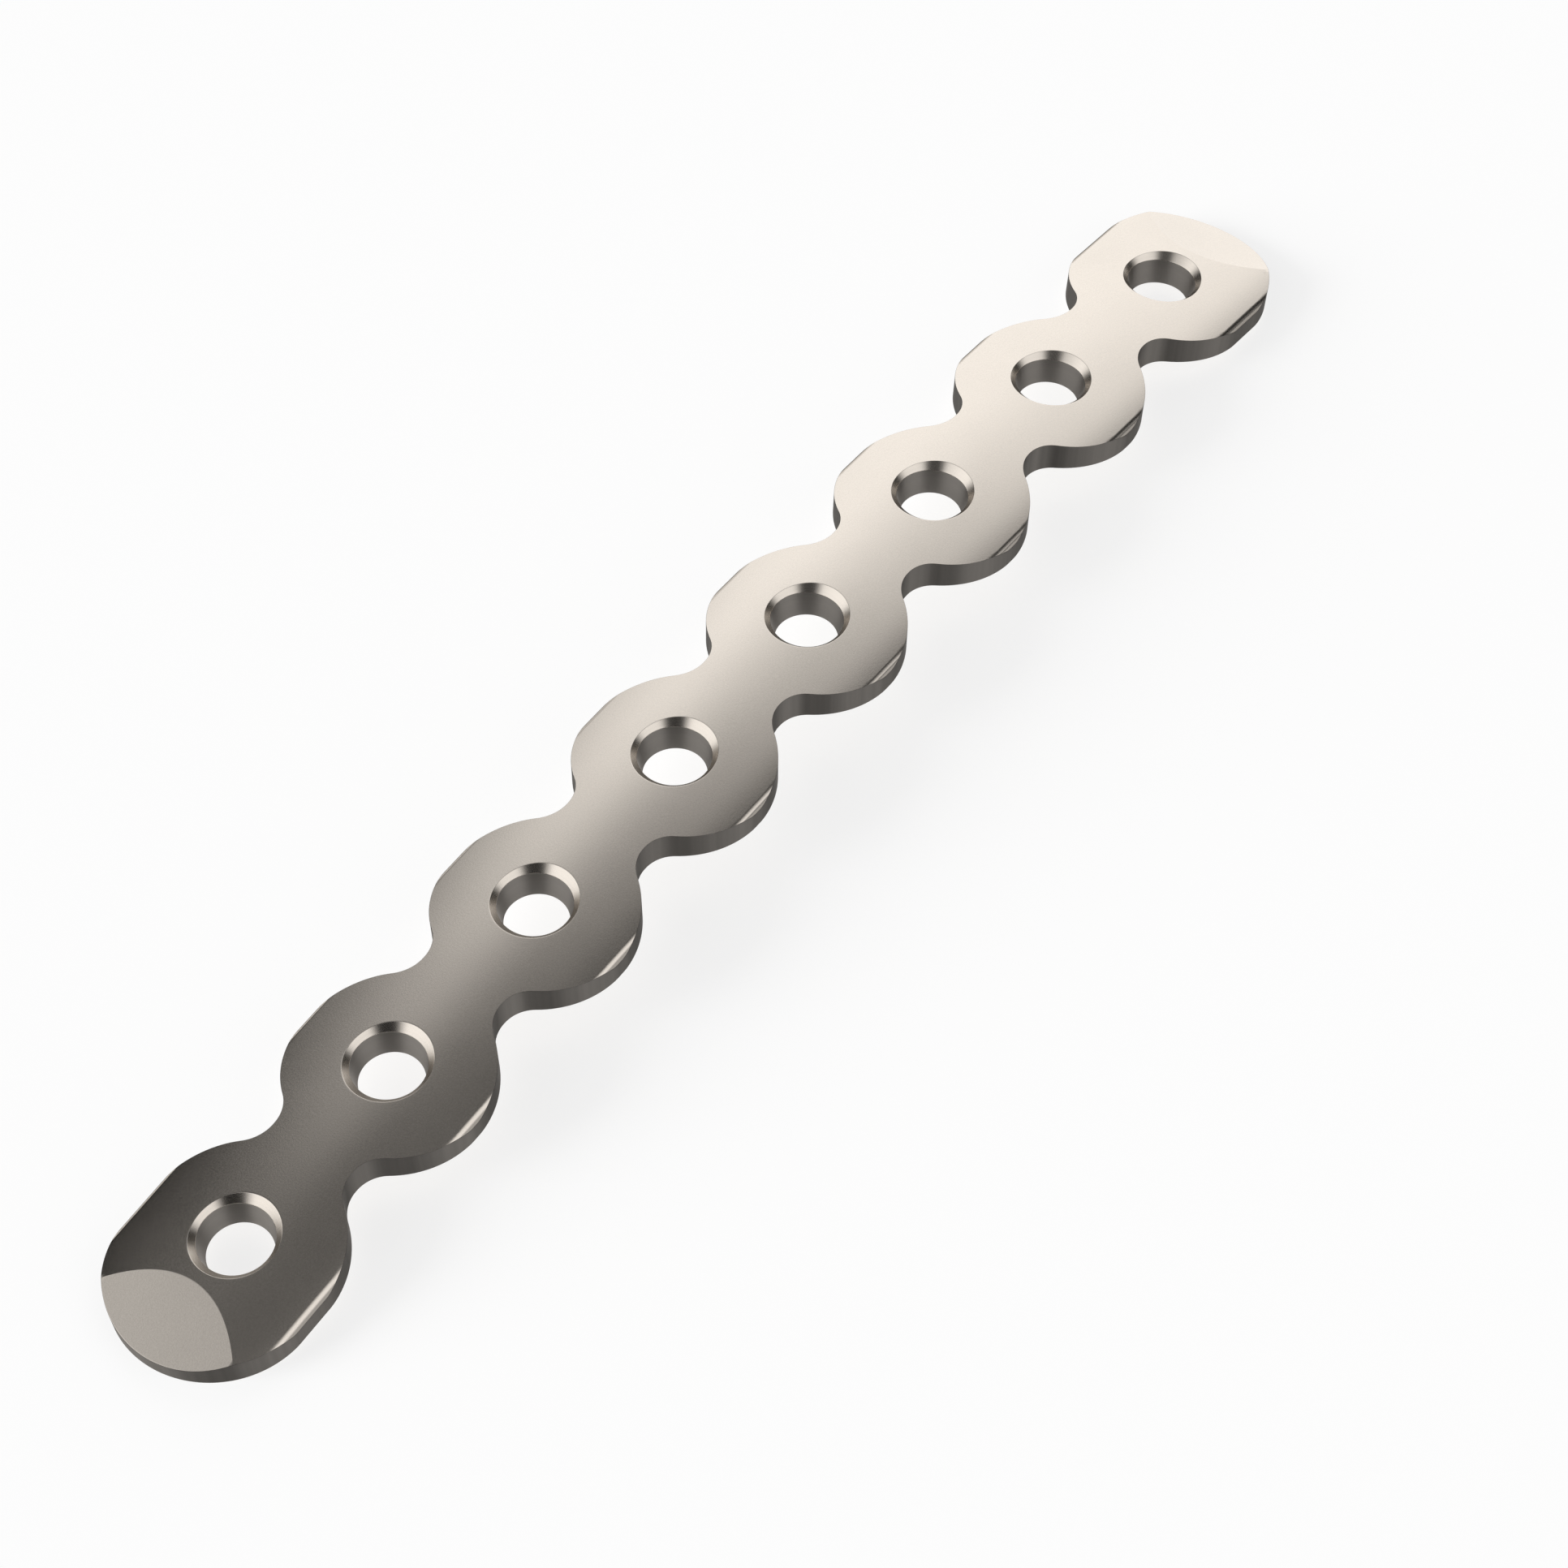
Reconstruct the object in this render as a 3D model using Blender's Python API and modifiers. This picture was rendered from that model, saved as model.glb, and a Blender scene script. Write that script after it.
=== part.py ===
"""Straight eight-hole bone plate, one solid piece of titanium.

The plate is drawn flat, as it is milled from bar: a crowned bar is cut to a row of round lands with
waists between them, and each land is bored and countersunk. The flat plate is then bent lengthwise,
and a plane ramp thins each end. X runs along the plate, Y across it and Z up through its outer face.
The origin is under the middle of the plate, on the surface that its two ends stand on.
"""

import math

import bmesh
import bpy
from mathutils import Matrix

# Row of screw holes
HOLE_COUNT = 8
HOLE_PITCH = 0.01000

# Plan outline, seen from above
LAND_RADIUS = 0.00457
WAIST_WIDTH = 0.00420
WAIST_RADIUS = 0.00166
END_LENGTH = 0.00153

# Cross-section of the bar
BAR_WIDTH = 0.00912
THICKNESS = 0.00159
CROWN_RADIUS = 0.01490
HOLLOW_RADIUS = 0.03850
EDGE_RADIUS = 0.00040

# Screw hole: a countersink over a bore that narrows to its exit in the bone face
SINK_DEPTH = 0.00035
SINK_ANGLE = math.radians(45.0)
BORE_RADIUS = 0.00167
EXIT_RADIUS = 0.00145

# Lengthwise bend, and the ramp that thins each end beyond its last hole
BEND_RADIUS = 0.30000
RAMP_OFFSET = 0.00254
RAMP_ANGLE = math.radians(12.7)

# How far a cutter stands clear of what it cuts
CUTTER_MARGIN = 0.00100

# Fineness of the facets
ARC_STEP = math.radians(7.5)
CROWN_FACETS = 14
HOLLOW_FACETS = 7
BORE_SIDES = 48
BEND_FACETS_PER_PITCH = 4

# Facets that meet at a smaller angle than this are one round face, and are shaded as one
SHARP_ANGLE = math.radians(11.0)

# Points closer than this are one point
SAME_POINT = 1e-7

# Share of a step by which an arc may be too long for its steps
STEP_SLACK = 1e-6

# Satin titanium
TITANIUM_COLOUR = (0.58, 0.55, 0.51, 1.0)
TITANIUM_ROUGHNESS = 0.3

# Places that follow from the sizes
HALF_ROW = HOLE_PITCH * (HOLE_COUNT - 1) / 2
HALF_LENGTH = HALF_ROW + END_LENGTH + LAND_RADIUS
STANDING_HEIGHT = BEND_RADIUS - (BEND_RADIUS - THICKNESS) * math.cos(HALF_LENGTH / BEND_RADIUS)


def clear_scene():
    for item in list(bpy.data.objects):
        bpy.data.objects.remove(item, do_unlink=True)


def new_collection(name, parent):
    collection = bpy.data.collections.new(name)
    parent.children.link(collection)
    return collection


def titanium():
    material = bpy.data.materials.new("satin_titanium")
    material.use_nodes = True
    shader = material.node_tree.nodes["Principled BSDF"]
    shader.inputs["Base Color"].default_value = TITANIUM_COLOUR
    shader.inputs["Metallic"].default_value = 1.0
    shader.inputs["Roughness"].default_value = TITANIUM_ROUGHNESS
    return material


def arc(centre, radius, start, end, steps=None):
    """Points of a round stretch from one angle to another, both ends included."""
    steps = steps or max(1, math.ceil(abs(end - start) / ARC_STEP - STEP_SLACK))
    angles = [start + (end - start) * i / steps for i in range(steps + 1)]
    return [(centre[0] + radius * math.cos(a), centre[1] + radius * math.sin(a)) for a in angles]


def without_repeats(points):
    """The closed outline with each point that repeats the one before it left out."""
    return [p for i, p in enumerate(points) if math.dist(p, points[i - 1]) > SAME_POINT]


def waist_arc_centre():
    """Place, seen from a land's centre, of the arc that hollows the edge towards the next land.

    The arc touches the land and the side of the web between the lands. Where the lands stand too
    close for a web, it touches both lands half way between them.
    """
    reach = LAND_RADIUS + WAIST_RADIUS
    along = math.sqrt(reach ** 2 - (WAIST_WIDTH / 2 + WAIST_RADIUS) ** 2)
    along = min(along, HOLE_PITCH / 2)
    return along, math.sqrt(reach ** 2 - along ** 2)


def side_outline():
    """One long side of the plan outline, from the near tip to the far tip."""
    along, out = waist_arc_centre()
    lean = math.atan2(out, along)
    quarter = math.pi / 2
    points = arc((-HALF_ROW - END_LENGTH, 0.0), LAND_RADIUS, math.pi, quarter)
    for i in range(HOLE_COUNT):
        x = i * HOLE_PITCH - HALF_ROW
        start = quarter if i == 0 else math.pi - lean
        end = quarter if i == HOLE_COUNT - 1 else lean
        if i > 0:
            points += arc((x - along, out), WAIST_RADIUS, 3 * quarter, 2 * math.pi - lean)
        points += arc((x, 0.0), LAND_RADIUS, start, quarter)
        points += arc((x, 0.0), LAND_RADIUS, quarter, end)
        if i < HOLE_COUNT - 1:
            points += arc((x + along, out), WAIST_RADIUS, math.pi + lean, 3 * quarter)
    points += arc((HALF_ROW + END_LENGTH, 0.0), LAND_RADIUS, quarter, 0.0)
    return points


def plan_outline():
    """Closed outline of the plate in X and Y."""
    side = side_outline()
    mirrored = [(x, -y) for x, y in reversed(side)]
    return without_repeats(side + mirrored)


def cross_section():
    """Closed outline of the bar in Y and Z: crowned face, rounded edges, sides and hollow bone face."""
    half_width = BAR_WIDTH / 2
    edge_y = half_width - EDGE_RADIUS
    edge_turn = math.asin(edge_y / (CROWN_RADIUS - EDGE_RADIUS))
    edge_z = (CROWN_RADIUS - EDGE_RADIUS) * math.cos(edge_turn) - CROWN_RADIUS
    hollow_turn = math.asin(half_width / HOLLOW_RADIUS)
    up = math.pi / 2
    crown = arc((0.0, -CROWN_RADIUS), CROWN_RADIUS, up + edge_turn, up - edge_turn, CROWN_FACETS)
    right_edge = arc((edge_y, edge_z), EDGE_RADIUS, up - edge_turn, 0.0)
    left_edge = arc((-edge_y, edge_z), EDGE_RADIUS, math.pi, up + edge_turn)
    hollow_centre = (0.0, -THICKNESS - HOLLOW_RADIUS)
    hollow = arc(hollow_centre, HOLLOW_RADIUS, up - hollow_turn, up + hollow_turn, HOLLOW_FACETS)
    return without_repeats(crown + right_edge + hollow + left_edge)


def extruded(name, outline, half_depth):
    """Mesh of a flat outline, extruded both ways along its own Z."""
    curve = bpy.data.curves.new(name, "CURVE")
    curve.dimensions = "2D"
    curve.fill_mode = "BOTH"
    curve.extrude = half_depth
    spline = curve.splines.new("POLY")
    spline.points.add(len(outline) - 1)
    for point, (x, y) in zip(spline.points, outline):
        point.co = (x, y, 0.0, 1.0)
    spline.use_cyclic_u = True
    drawing = bpy.data.objects.new(name, curve)
    bpy.context.scene.collection.objects.link(drawing)
    depsgraph = bpy.context.evaluated_depsgraph_get()
    mesh = bpy.data.meshes.new_from_object(drawing.evaluated_get(depsgraph))
    bpy.data.objects.remove(drawing, do_unlink=True)
    bm = bmesh.new()
    bm.from_mesh(mesh)
    bmesh.ops.remove_doubles(bm, verts=bm.verts, dist=SAME_POINT)
    bmesh.ops.recalc_face_normals(bm, faces=bm.faces)
    bm.to_mesh(mesh)
    bm.free()
    return mesh


def cut_for_bending(mesh):
    """Cuts a lengthwise mesh across into short bays, one of them centred on the middle."""
    bay = HOLE_PITCH / BEND_FACETS_PER_PITCH
    cuts = math.ceil(HALF_LENGTH / bay)
    bm = bmesh.new()
    bm.from_mesh(mesh)
    for i in range(-cuts, cuts):
        bmesh.ops.bisect_plane(
            bm,
            geom=bm.verts[:] + bm.edges[:] + bm.faces[:],
            dist=SAME_POINT,
            plane_co=((i + 0.5) * bay, 0.0, 0.0),
            plane_no=(1.0, 0.0, 0.0),
        )
    bm.to_mesh(mesh)
    bm.free()


def bar_blank():
    """Length of crowned bar along X, with its crown's middle at the origin."""
    mesh = extruded("bone_plate", cross_section(), HALF_LENGTH + CUTTER_MARGIN)
    y_z_x_to_x_y_z = Matrix(((0, 0, 1, 0), (1, 0, 0, 0), (0, 1, 0, 0), (0, 0, 0, 1)))
    mesh.transform(y_z_x_to_x_y_z)
    cut_for_bending(mesh)
    return mesh


def screw_hole_profile():
    """Half section of one hole's cutter, in X and Z, from its top to its bottom."""
    top = CUTTER_MARGIN
    bottom = -THICKNESS - CUTTER_MARGIN
    narrowing = (BORE_RADIUS - EXIT_RADIUS) / (THICKNESS - SINK_DEPTH)
    sink_radius = BORE_RADIUS + (top + SINK_DEPTH) * math.tan(SINK_ANGLE)
    tip_radius = BORE_RADIUS + (bottom + SINK_DEPTH) * narrowing
    profile = [
        (0.0, top),
        (sink_radius, top),
        (BORE_RADIUS, -SINK_DEPTH),
        (tip_radius, bottom),
        (0.0, bottom),
    ]
    points = [(x, 0.0, z) for x, z in profile]
    edges = [(i, i + 1) for i in range(len(profile) - 1)]
    mesh = bpy.data.meshes.new("screw_hole_profile")
    mesh.from_pydata(points, edges, [])
    return mesh


def add_cutter(name, mesh, collection, datum):
    cutter = bpy.data.objects.new(name, mesh)
    cutter.parent = datum
    cutter.hide_render = True
    cutter.display_type = "WIRE"
    collection.objects.link(cutter)
    return cutter


def add_hole_cutters(collection, datum):
    """One turned cutter for each hole of the row, all sharing one profile."""
    profile = screw_hole_profile()
    for i in range(HOLE_COUNT):
        cutter = add_cutter(f"screw_hole_{i + 1}", profile, collection, datum)
        cutter.location.x = i * HOLE_PITCH - HALF_ROW
        turning = cutter.modifiers.new("turn", "SCREW")
        turning.axis = "Z"
        turning.steps = BORE_SIDES
        turning.render_steps = BORE_SIDES
        turning.use_merge_vertices = True
        turning.merge_threshold = SAME_POINT


def add_ramp_cutters(collection, datum):
    """A block over each end, its underside on the ramp's plane."""
    start = (HALF_ROW + RAMP_OFFSET) / BEND_RADIUS
    reach = END_LENGTH + LAND_RADIUS - RAMP_OFFSET + CUTTER_MARGIN
    size = Matrix.Diagonal((2 * reach, 2 * (LAND_RADIUS + CUTTER_MARGIN), THICKNESS, 1.0))
    for name, side in (("near_ramp", -1), ("far_ramp", 1)):
        mesh = bpy.data.meshes.new(name)
        bm = bmesh.new()
        on_plane = size @ Matrix.Translation((0.0, 0.0, 0.5))
        bmesh.ops.create_cube(bm, size=1.0, matrix=on_plane)
        bm.to_mesh(mesh)
        bm.free()
        cutter = add_cutter(name, mesh, collection, datum)
        cutter.location.x = side * BEND_RADIUS * math.sin(start)
        cutter.location.z = BEND_RADIUS * (math.cos(start) - 1.0)
        cutter.rotation_euler.y = side * (start + RAMP_ANGLE)


def add_boolean(target, name, operation, cutters):
    """Live Boolean with one object, or with every object of a collection."""
    modifier = target.modifiers.new(name, "BOOLEAN")
    modifier.operation = operation
    if isinstance(cutters, bpy.types.Collection):
        modifier.operand_type = "COLLECTION"
        modifier.collection = cutters
    else:
        modifier.object = cutters


def add_bend(target, datum):
    """Bends the flat plate about Y so that its outer face is convex along its length."""
    axis = bpy.data.objects.new("bend_axis", None)
    axis.parent = datum
    axis.rotation_euler.x = -math.pi / 2
    bpy.context.scene.collection.objects.link(axis)
    modifier = target.modifiers.new("lengthwise_bend", "SIMPLE_DEFORM")
    modifier.deform_method = "BEND"
    modifier.deform_axis = "Z"
    modifier.origin = axis
    modifier.angle = 2 * HALF_LENGTH / BEND_RADIUS


def add_smooth_shading(target):
    """Shades round faces smooth and leaves the edges between two faces sharp."""
    tree = bpy.data.node_groups.new("smooth_shading", "GeometryNodeTree")
    tree.interface.new_socket("Mesh", in_out="INPUT", socket_type="NodeSocketGeometry")
    tree.interface.new_socket("Mesh", in_out="OUTPUT", socket_type="NodeSocketGeometry")
    given = tree.nodes.new("NodeGroupInput")
    result = tree.nodes.new("NodeGroupOutput")
    faces = tree.nodes.new("GeometryNodeSetShadeSmooth")
    edges = tree.nodes.new("GeometryNodeSetShadeSmooth")
    edges.domain = "EDGE"
    turn = tree.nodes.new("GeometryNodeInputMeshEdgeAngle")
    gentle = tree.nodes.new("FunctionNodeCompare")
    gentle.operation = "LESS_THAN"
    gentle.inputs["B"].default_value = SHARP_ANGLE
    tree.links.new(turn.outputs["Unsigned Angle"], gentle.inputs["A"])
    tree.links.new(gentle.outputs["Result"], edges.inputs["Shade Smooth"])
    tree.links.new(given.outputs["Mesh"], faces.inputs["Geometry"])
    tree.links.new(faces.outputs["Geometry"], edges.inputs["Geometry"])
    tree.links.new(edges.outputs["Geometry"], result.inputs["Mesh"])
    modifier = target.modifiers.new("smooth_shading", "NODES")
    modifier.node_group = tree


def build():
    clear_scene()
    scene_collection = bpy.context.scene.collection
    parts = new_collection("orthopedic_bone_plate", scene_collection)
    cutters = new_collection("cutters", scene_collection)
    screw_holes = new_collection("screw_holes", cutters)
    ramps = new_collection("ramps", cutters)

    datum = bpy.data.objects.new("crown_middle", None)
    datum.location.z = STANDING_HEIGHT
    scene_collection.objects.link(datum)

    outline_mesh = extruded("plan_outline", plan_outline(), THICKNESS + CUTTER_MARGIN)
    outline = add_cutter("plan_outline", outline_mesh, cutters, datum)
    add_hole_cutters(screw_holes, datum)
    add_ramp_cutters(ramps, datum)

    plate = bpy.data.objects.new("bone_plate", bar_blank())
    plate.parent = datum
    plate.data.materials.append(titanium())
    parts.objects.link(plate)
    add_boolean(plate, "scalloped_outline", "INTERSECT", outline)
    add_boolean(plate, "countersunk_holes", "DIFFERENCE", screw_holes)
    add_bend(plate, datum)
    add_boolean(plate, "end_ramps", "DIFFERENCE", ramps)
    add_smooth_shading(plate)


build()
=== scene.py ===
"""Eight-hole bone plate of satin titanium on a pale studio floor, laid out as a Blender add-on.

The plate is one Geometry Nodes tree. A bay is the stretch of plate round one screw hole: columns of
quads run from the hole out to the outline, and rows follow the section through bore, countersink, outer
face, side and bone face. The tree repeats the inner bay along the row, closes it with an end bay at
both ends and bends the flat row lengthwise.
"""

import inspect
import math

import bpy
from bpy.props import FloatProperty, FloatVectorProperty, IntProperty, PointerProperty
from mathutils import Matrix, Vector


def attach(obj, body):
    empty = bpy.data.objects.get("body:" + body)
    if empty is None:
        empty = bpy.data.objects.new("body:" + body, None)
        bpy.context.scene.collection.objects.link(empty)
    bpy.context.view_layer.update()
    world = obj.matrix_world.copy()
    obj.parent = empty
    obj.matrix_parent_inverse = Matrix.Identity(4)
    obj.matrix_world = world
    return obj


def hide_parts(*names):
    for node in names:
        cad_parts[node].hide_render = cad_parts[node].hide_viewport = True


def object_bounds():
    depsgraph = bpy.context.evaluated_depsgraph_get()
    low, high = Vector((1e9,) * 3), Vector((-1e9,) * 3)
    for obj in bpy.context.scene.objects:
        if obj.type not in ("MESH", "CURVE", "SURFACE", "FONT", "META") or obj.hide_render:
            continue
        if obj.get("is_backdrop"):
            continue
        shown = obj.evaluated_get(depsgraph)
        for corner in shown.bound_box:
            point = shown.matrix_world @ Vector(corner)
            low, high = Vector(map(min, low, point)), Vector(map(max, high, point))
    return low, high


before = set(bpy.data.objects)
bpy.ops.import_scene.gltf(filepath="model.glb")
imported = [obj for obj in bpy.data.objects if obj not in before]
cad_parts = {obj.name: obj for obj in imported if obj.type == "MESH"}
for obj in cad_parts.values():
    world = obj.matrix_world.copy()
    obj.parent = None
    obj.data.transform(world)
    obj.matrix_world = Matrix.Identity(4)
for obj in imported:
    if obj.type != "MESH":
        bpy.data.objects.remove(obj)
cad_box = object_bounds()

bl_info = {
    "name": "Bone Plate",
    "version": (1, 0, 0),
    "blender": (4, 5, 0),
    "location": "3D View > Sidebar > Bone Plate",
    "description": "Scalloped, crowned and bent bone plate with countersunk screw holes",
    "category": "Add Mesh",
}

# Columns of quads in a quarter of a bay, from the web round to the widest point of the land
WEB_COLUMNS = 10
WAIST_COLUMNS = 12
LAND_COLUMNS = 20
QUARTER = WEB_COLUMNS + WAIST_COLUMNS + LAND_COLUMNS
STRAIGHT_COLUMNS = 6

# Rows of quads in each band of the section
BREAK_ROWS = 4
HOLE_ROWS = 4
FACE_ROWS = 12
RIM_ROWS = 14
SIDE_ROWS = 5
UNDER_ROWS = 7

# Share of a band that its first and its last row take up, so that its edges shade crisply
HELD_SHARE = 0.03

# Furthest out that the face's inner rows reach, as a share of the way from the rim to the outline
INNER_REACH = 0.93

# Points closer than this are one point
MERGE_DISTANCE = 2e-7

# Times that the rim's radius is worked out again, at the crown's height there
RIM_TRIES = 4

# Height of the relief of grain and tool marks, at full strength
RELIEF_HEIGHT = 0.00001

# Share of the relief of cut metal that its tool marks take, and its grain the rest
MARK_SHARE = 0.8

# Axes across the cutter's upright marks on the side, and across the turned rings in a hole
ACROSS_UPRIGHTS = (1.0, 1.0, 0.0)
ACROSS_RINGS = (0.0, 0.0, 1.0)

# Share of each coarser layer of noise that the next finer one keeps, and the mean that noise lies about
NOISE_ROUGHNESS = 0.6
NOISE_MEAN = 0.5

# Upright parts of the normal between which the rounded edge's painted shade fades out: below the first it keeps
# less of its colour, above the second all of it
EDGE_SPAN = (0.5, 0.72)

# Finishes of the plate, in the order of its material slots
FACE, SIDE, SINK, BORE, EDGE = range(5)

# Soft boxes round the plate: ahead of the camera, to its left and to its right, and a low grey screen.
# Angles are in degrees, turns from +X towards +Y and tops above the floor. The edges are soft.
SOFT_BOXES = (
    dict(turn=26.8, half_width=34.0, side_softness=13.5, top=53.3, top_softness=24.0, level=1.05),
    dict(turn=140.4, half_width=43.2, side_softness=12.9, top=56.6, top_softness=22.9, level=1.08),
    dict(turn=-82.6, half_width=34.3, side_softness=12.9, top=64.1, top_softness=19.2, level=0.91),
    dict(turn=-50.0, half_width=13.0, side_softness=3.0, top=11.0, top_softness=13.0, level=0.06),
)


def length(name, description, default):
    return FloatProperty(
        name=name, description=description, default=default, min=0.0, precision=5, unit="LENGTH"
    )


def angle(name, description, default):
    return FloatProperty(
        name=name, description=description, default=math.radians(default), subtype="ANGLE"
    )


def share(name, description, default):
    return FloatProperty(
        name=name, description=description, default=default, min=0.0, max=1.0, subtype="FACTOR"
    )


def colour(name, description, default):
    return FloatVectorProperty(
        name=name, description=description, default=default, min=0.0, max=1.0, subtype="COLOR"
    )


class PlateSizes(bpy.types.PropertyGroup):
    """Sizes of the plate as it is milled flat, and of its bend."""

    hole_count: IntProperty(
        name="Hole Count", description="Screw holes in the row", default=8, min=3
    )
    hole_pitch: length("Hole Pitch", "From one screw hole to the next", 0.01)
    land_radius: length("Land Radius", "Radius of the round land about each hole", 0.00457)
    waist_width: length("Waist Width", "Width of the web between two lands", 0.0042)
    waist_radius: length("Waist Radius", "Radius that hollows the edge towards the web", 0.00166)
    end_length: length("End Length", "Straight stretch beyond the last hole's centre", 0.00153)
    bar_width: length("Bar Width", "Width of the bar the plate is cut from", 0.00912)
    thickness: length("Thickness", "Thickness along the middle", 0.00159)
    crown_radius: length("Crown Radius", "Radius of the outer face across the plate", 0.0149)
    hollow_radius: length("Hollow Radius", "Radius of the bone face across the plate", 0.0385)
    edge_radius: length("Edge Radius", "Rounding along the bar's long upper edges", 0.0004)
    sink_depth: length("Sink Depth", "Depth of the countersink", 0.00035)
    sink_angle: angle("Sink Angle", "Angle of the countersink from the hole's axis", 45.0)
    bore_radius: length("Bore Radius", "Radius of the bore below the countersink", 0.00167)
    exit_radius: length("Exit Radius", "Radius of the bore in the bone face", 0.00145)
    bend_radius: length("Bend Radius", "Radius of the lengthwise bend", 0.3)
    ramp_offset: length("Ramp Offset", "From the last hole's centre to the end ramp", 0.00254)
    ramp_angle: angle("Ramp Angle", "Fall of the end ramp from the outer face", 12.7)
    edge_break: length("Edge Break", "Rounding left on the outline by tumbling", 0.00001)
    hole_break: length("Hole Break", "Rounding left on the edges of a hole", 0.00001)


class PlateFinish(bpy.types.PropertyGroup):
    """Colours and textures of the plate's titanium, with shade painted into the colours of its side, bore and
    rounded edge.
    """

    face_colour: colour("Face Colour", "Metal of the blasted outer face and bone face", (0.87, 0.80, 0.72))
    # Painted shade: the side's colour is set far darker than the face's, standing in for the dark reflections
    # along the side.
    side_colour: colour("Side Colour", "Metal of the milled side", (0.237, 0.221, 0.203))
    sink_colour: colour("Sink Colour", "Metal of the turned countersink", (0.87, 0.80, 0.72))
    # Painted shade: the bore's colour is set darker than the countersink's, standing in for the shade and dark
    # reflections down the hole.
    bore_colour: colour("Bore Colour", "Metal of the reamed bore", (0.43, 0.402, 0.373))
    face_roughness: share("Face Roughness", "Mean roughness of the faces", 0.205)
    side_roughness: share("Side Roughness", "Mean roughness of the side", 0.6)
    sink_roughness: share("Sink Roughness", "Mean roughness of the countersink", 0.26)
    bore_roughness: share("Bore Roughness", "Mean roughness of the bore", 0.6)
    side_stretch: share("Side Stretch", "How far the side stretches reflections up and down", 1.0)
    sink_stretch: share("Sink Stretch", "How far the countersink stretches them", 0.5)
    bore_stretch: share("Bore Stretch", "How far the bore stretches them", 1.0)
    sink_grazing: colour("Sink Grazing", "Tint of what the countersink shows edge on", (0.09, 0.09, 0.09))
    # Painted shade: the rounded edge keeps less of its colour where it turns down to the side.
    edge_level: share("Edge Level", "Share of its colour that the rounded edge keeps at the side", 0.42)
    edge_grazing: colour("Edge Grazing", "Tint of what the rounded edge shows edge on", (0.06, 0.06, 0.06))
    grain_size: length("Grain Size", "Size of the blasted grain", 0.00007)
    face_grain: share("Face Grain", "How much the grain changes the colour of the faces", 0.3)
    face_mottle: share("Face Mottle", "How much the grain changes the roughness of the faces", 0.12)
    face_relief: share("Face Relief", "Strength of the grain's relief on the faces", 0.12)
    cut_grain: share("Cut Grain", "How much the grain changes the colour of milled and turned metal", 0.07)
    cut_relief: share("Cut Relief", "Strength of the relief of milled and turned metal", 0.06)
    mill_spacing: length("Mill Spacing", "Spacing of the cutter's upright marks on the side", 0.00045)
    mill_tone: share("Mill Tone", "How much the cutter's marks change the colour of the side", 1.0)
    ring_spacing: length("Ring Spacing", "Spacing of the turned rings in a hole", 0.0001)
    ring_tone: share("Ring Tone", "How much the turned rings change the colour of a hole", 0.2)


class StudioSettings(bpy.types.PropertyGroup):
    """Floor, room and camera."""

    floor_size: length("Floor Size", "Width of the square floor", 40.0)
    floor_colour: colour("Floor Colour", "Colour of the floor under the light", (0.27, 0.27, 0.27))
    floor_glow: colour("Floor Glow", "Light that the floor adds where it is seen", (0.765, 0.765, 0.765))
    lamp_strength: FloatProperty(
        name="Lamp Strength", description="Strength of the side lamp", default=3.2, min=0.0
    )
    lamp_angle: angle("Lamp Angle", "Angle that the side lamp fills", 30.0)
    lamp_height: angle("Lamp Height", "Elevation of the side lamp above the floor", 18.4)
    lamp_azimuth: angle("Lamp Azimuth", "Turn from +X towards +Y to the side lamp", 143.9)
    wall_level: share("Wall Level", "Brightness of the room between the soft boxes", 0.005)
    ceiling_level: share("Ceiling Level", "Brightness of the room overhead", 0.103)
    wall_top: angle("Wall Top", "Elevation at which the wall begins to run into the ceiling", 20.6)
    ceiling_edge: angle("Ceiling Edge", "Elevation from which all is ceiling", 86.5)
    lens: FloatProperty(
        name="Lens", description="Focal length of the camera", default=100.11, unit="CAMERA"
    )
    nearest: length("Nearest", "Distance from which the camera sees", 0.01)
    camera_place: FloatVectorProperty(
        name="Camera Place",
        description="Where the camera stands",
        subtype="TRANSLATION",
        precision=5,
        default=(-0.1028303, -0.0750199, 0.1512393),
    )
    camera_turn: FloatVectorProperty(
        name="Camera Turn",
        description="Which way the camera looks",
        subtype="EULER",
        default=(0.690538, -0.009896, -0.943917),
    )


class Field:
    """A number in a node tree. Arithmetic on it adds Math nodes to the tree."""

    def __init__(self, socket):
        self.socket = socket
        self.tree = socket.id_data

    def __add__(self, other):
        return math_node("ADD", self, other)

    def __radd__(self, other):
        return math_node("ADD", other, self)

    def __sub__(self, other):
        return math_node("SUBTRACT", self, other)

    def __rsub__(self, other):
        return math_node("SUBTRACT", other, self)

    def __mul__(self, other):
        return math_node("MULTIPLY", self, other)

    def __rmul__(self, other):
        return math_node("MULTIPLY", other, self)

    def __truediv__(self, other):
        return math_node("DIVIDE", self, other)

    def __rtruediv__(self, other):
        return math_node("DIVIDE", other, self)

    def __neg__(self):
        return math_node("MULTIPLY", self, -1.0)

    def __abs__(self):
        return math_node("ABSOLUTE", self)

    def __gt__(self, other):
        return math_node("GREATER_THAN", self, other)

    def __lt__(self, other):
        return math_node("LESS_THAN", self, other)


def feed(socket, value):
    """Links a field to a socket, or sets the socket to a plain value."""
    if isinstance(value, Field):
        socket.id_data.links.new(value.socket, socket)
    else:
        socket.default_value = value


def math_node(operation, *values):
    tree = next(v.tree for v in values if isinstance(v, Field))
    node = tree.nodes.new("ShaderNodeMath")
    node.operation = operation
    for socket, value in zip(node.inputs, values):
        feed(socket, value)
    return Field(node.outputs[0])


def sine(turn):
    return math_node("SINE", turn)


def cosine(turn):
    return math_node("COSINE", turn)


def root(value):
    return math_node("SQRT", value)


def square(value):
    return value * value


def least(first, second):
    return math_node("MINIMUM", first, second)


def blend(start, end, portion):
    return start + (end - start) * portion


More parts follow.
